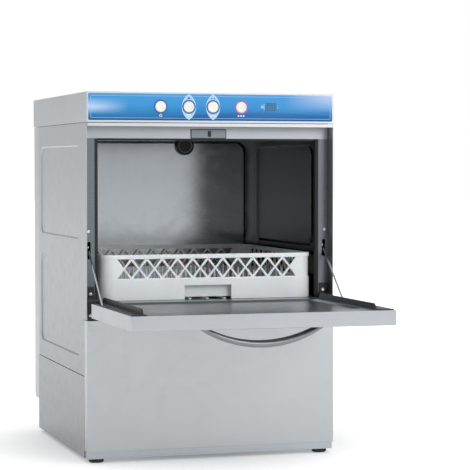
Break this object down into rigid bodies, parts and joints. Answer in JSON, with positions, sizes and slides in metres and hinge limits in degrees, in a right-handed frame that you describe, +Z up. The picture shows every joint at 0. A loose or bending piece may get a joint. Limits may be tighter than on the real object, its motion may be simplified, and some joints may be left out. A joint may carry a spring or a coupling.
{
  "type": "commercial dishwasher",
  "caption": "Under-counter stainless steel dishwasher with a drop-down front door, a square lattice dish rack and a blue control panel above.",
  "frame": {"origin": "under the middle of the bounding box of the whole machine with its door open, on the floor", "axes": "+Z up, +Y towards the back of the machine, +X to the right of a person facing its door"},
  "size_m": [0.575, 0.9974, 0.82],
  "materials": {
    "steel_outer": "fine brushed stainless steel",
    "steel_inner": "satin stainless steel",
    "steel_bright": "polished stainless steel",
    "dark_steel": "dark coated steel",
    "blue_film": "printed blue film under a clear face",
    "display_window": "tinted window",
    "circuit_board": "green board",
    "button_plastic": "satin white plastic",
    "black_plastic": "moulded black plastic",
    "white_plastic": "moulded white plastic",
    "grey_plastic": "moulded grey plastic",
    "black_rubber": "soft black seal",
    "hose_rubber": "black pressure hose",
    "motor_paint": "dark enamel",
    "screw_steel": "plain stainless fasteners",
    "rack_plastic": "translucent white polypropylene"
  },
  "bodies": {
    "cabinet": {"base_frame": "steel_inner", "levelling_feet": "black_plastic", "front_lower_panel": "steel_outer", "left_lower_panel": "steel_outer", "right_lower_panel": "steel_outer", "left_side_panel": "steel_outer", "right_side_panel": "steel_outer", "rear_cover": "steel_outer", "top_cover": "steel_outer", "front_trim_rail": "steel_bright", "control_fascia": "blue_film", "display_lens": "display_window", "control_board": "circuit_board", "left_jamb": "steel_inner", "right_jamb": "steel_inner", "door_header": "steel_inner", "latch_catch": "steel_bright", "jamb_seals": "black_rubber", "hinge_blocks": "black_plastic", "threshold": "steel_inner", "chamber_left_wall": "steel_inner", "chamber_right_wall": "steel_inner", "chamber_back_wall": "steel_inner", "chamber_ceiling": "steel_inner", "vent_cap": "black_plastic", "wash_tank": "steel_inner", "tank_filter": "steel_inner", "suction_filter": "steel_inner", "overflow_pipe": "white_plastic", "tank_heater": "steel_bright", "rack_rails": "steel_inner", "wash_arm_posts": "steel_bright", "wash_pump": "motor_paint", "feed_pipes": "hose_rubber", "drain_pump": "black_plastic", "boiler": "steel_inner", "inlet_valve": "white_plastic", "dosing_pumps": "white_plastic", "terminal_box": "grey_plastic", "cable_gland": "black_plastic", "panel_screws": "screw_steel"},
    "latch_bolt": {"latch_bolt": "black_plastic"},
    "impeller": {"pump_impeller": "black_plastic"},
    "lower_wash_arm": {"lower_wash_arm": "steel_bright"},
    "lower_rinse_arm": {"lower_rinse_arm": "steel_bright"},
    "upper_wash_arm": {"upper_wash_arm": "steel_bright"},
    "upper_rinse_arm": {"upper_rinse_arm": "steel_bright"},
    "power_button": {"power_button": "button_plastic"},
    "cycle_button_1": {"cycle_button_1": "button_plastic"},
    "cycle_button_2": {"cycle_button_2": "button_plastic"},
    "start_button": {"start_button": "button_plastic"},
    "door": {"door_outer_skin": "steel_outer", "door_inner_panel": "steel_inner", "door_rails": "dark_steel", "door_handle": "steel_bright", "door_pins": "screw_steel"},
    "stay_left": {"stay_rod_left": "screw_steel"},
    "stay_right": {"stay_rod_right": "screw_steel"},
    "rack": {"rack_walls": "rack_plastic", "rack_base": "rack_plastic"}
  },
  "joints": [
    {"name": "door_hinge", "type": "hinge", "parent": "cabinet", "child": "door", "pos_m": [0, -0.0935, 0.3376], "axis": [-1, 0, 0], "range_deg": [0, 90]},
    {"name": "stay_left_pivot", "type": "hinge", "parent": "door", "child": "stay_left", "pos_m": [-0.2755, -0.2125, 0.349], "axis": [-1, 0, 0], "range_deg": [-54.5, 0.5]},
    {"name": "stay_right_pivot", "type": "hinge", "parent": "door", "child": "stay_right", "pos_m": [0.2755, -0.2125, 0.349], "axis": [-1, 0, 0], "range_deg": [-54.5, 0.5]},
    {"name": "rack_slide", "type": "slide", "parent": "cabinet", "child": "rack", "axis": [0, 1, 0], "range_m": [-0.3355, 0]},
    {"name": "lower_wash_arm_spin", "type": "hinge", "parent": "cabinet", "child": "lower_wash_arm", "pos_m": [0, 0.1815, 0.32], "axis": [0, 0, 1], "continuous": true},
    {"name": "lower_rinse_arm_spin", "type": "hinge", "parent": "cabinet", "child": "lower_rinse_arm", "pos_m": [0, 0.1815, 0.337], "axis": [0, 0, 1], "continuous": true},
    {"name": "upper_wash_arm_spin", "type": "hinge", "parent": "cabinet", "child": "upper_wash_arm", "pos_m": [0, 0.1815, 0.749], "axis": [0, 0, 1], "continuous": true},
    {"name": "upper_rinse_arm_spin", "type": "hinge", "parent": "cabinet", "child": "upper_rinse_arm", "pos_m": [0, 0.1815, 0.7345], "axis": [0, 0, 1], "continuous": true},
    {"name": "impeller_spin", "type": "hinge", "parent": "cabinet", "child": "impeller", "pos_m": [-0.05, 0.1815, 0.092], "axis": [1, 0, 0], "continuous": true},
    {"name": "latch_slide", "type": "slide", "parent": "cabinet", "child": "latch_bolt", "axis": [0, 1, 0], "range_m": [0, 0.005], "stiffness_N_per_m": 400, "springref_m": -0.002},
    {"name": "power_button_press", "type": "slide", "parent": "cabinet", "child": "power_button", "axis": [0, 1, 0], "range_m": [0, 0.003], "stiffness_N_per_m": 500, "springref_m": -0.002},
    {"name": "cycle_button_1_press", "type": "slide", "parent": "cabinet", "child": "cycle_button_1", "axis": [0, 1, 0], "range_m": [0, 0.003], "stiffness_N_per_m": 500, "springref_m": -0.002},
    {"name": "cycle_button_2_press", "type": "slide", "parent": "cabinet", "child": "cycle_button_2", "axis": [0, 1, 0], "range_m": [0, 0.003], "stiffness_N_per_m": 500, "springref_m": -0.002},
    {"name": "start_button_press", "type": "slide", "parent": "cabinet", "child": "start_button", "axis": [0, 1, 0], "range_m": [0, 0.003], "stiffness_N_per_m": 500, "springref_m": -0.002}
  ],
  "couplings": [
    {"joint": "stay_left_pivot", "follows": "door_hinge", "ratio": -0.6},
    {"joint": "stay_right_pivot", "follows": "door_hinge", "ratio": -0.6}
  ]
}
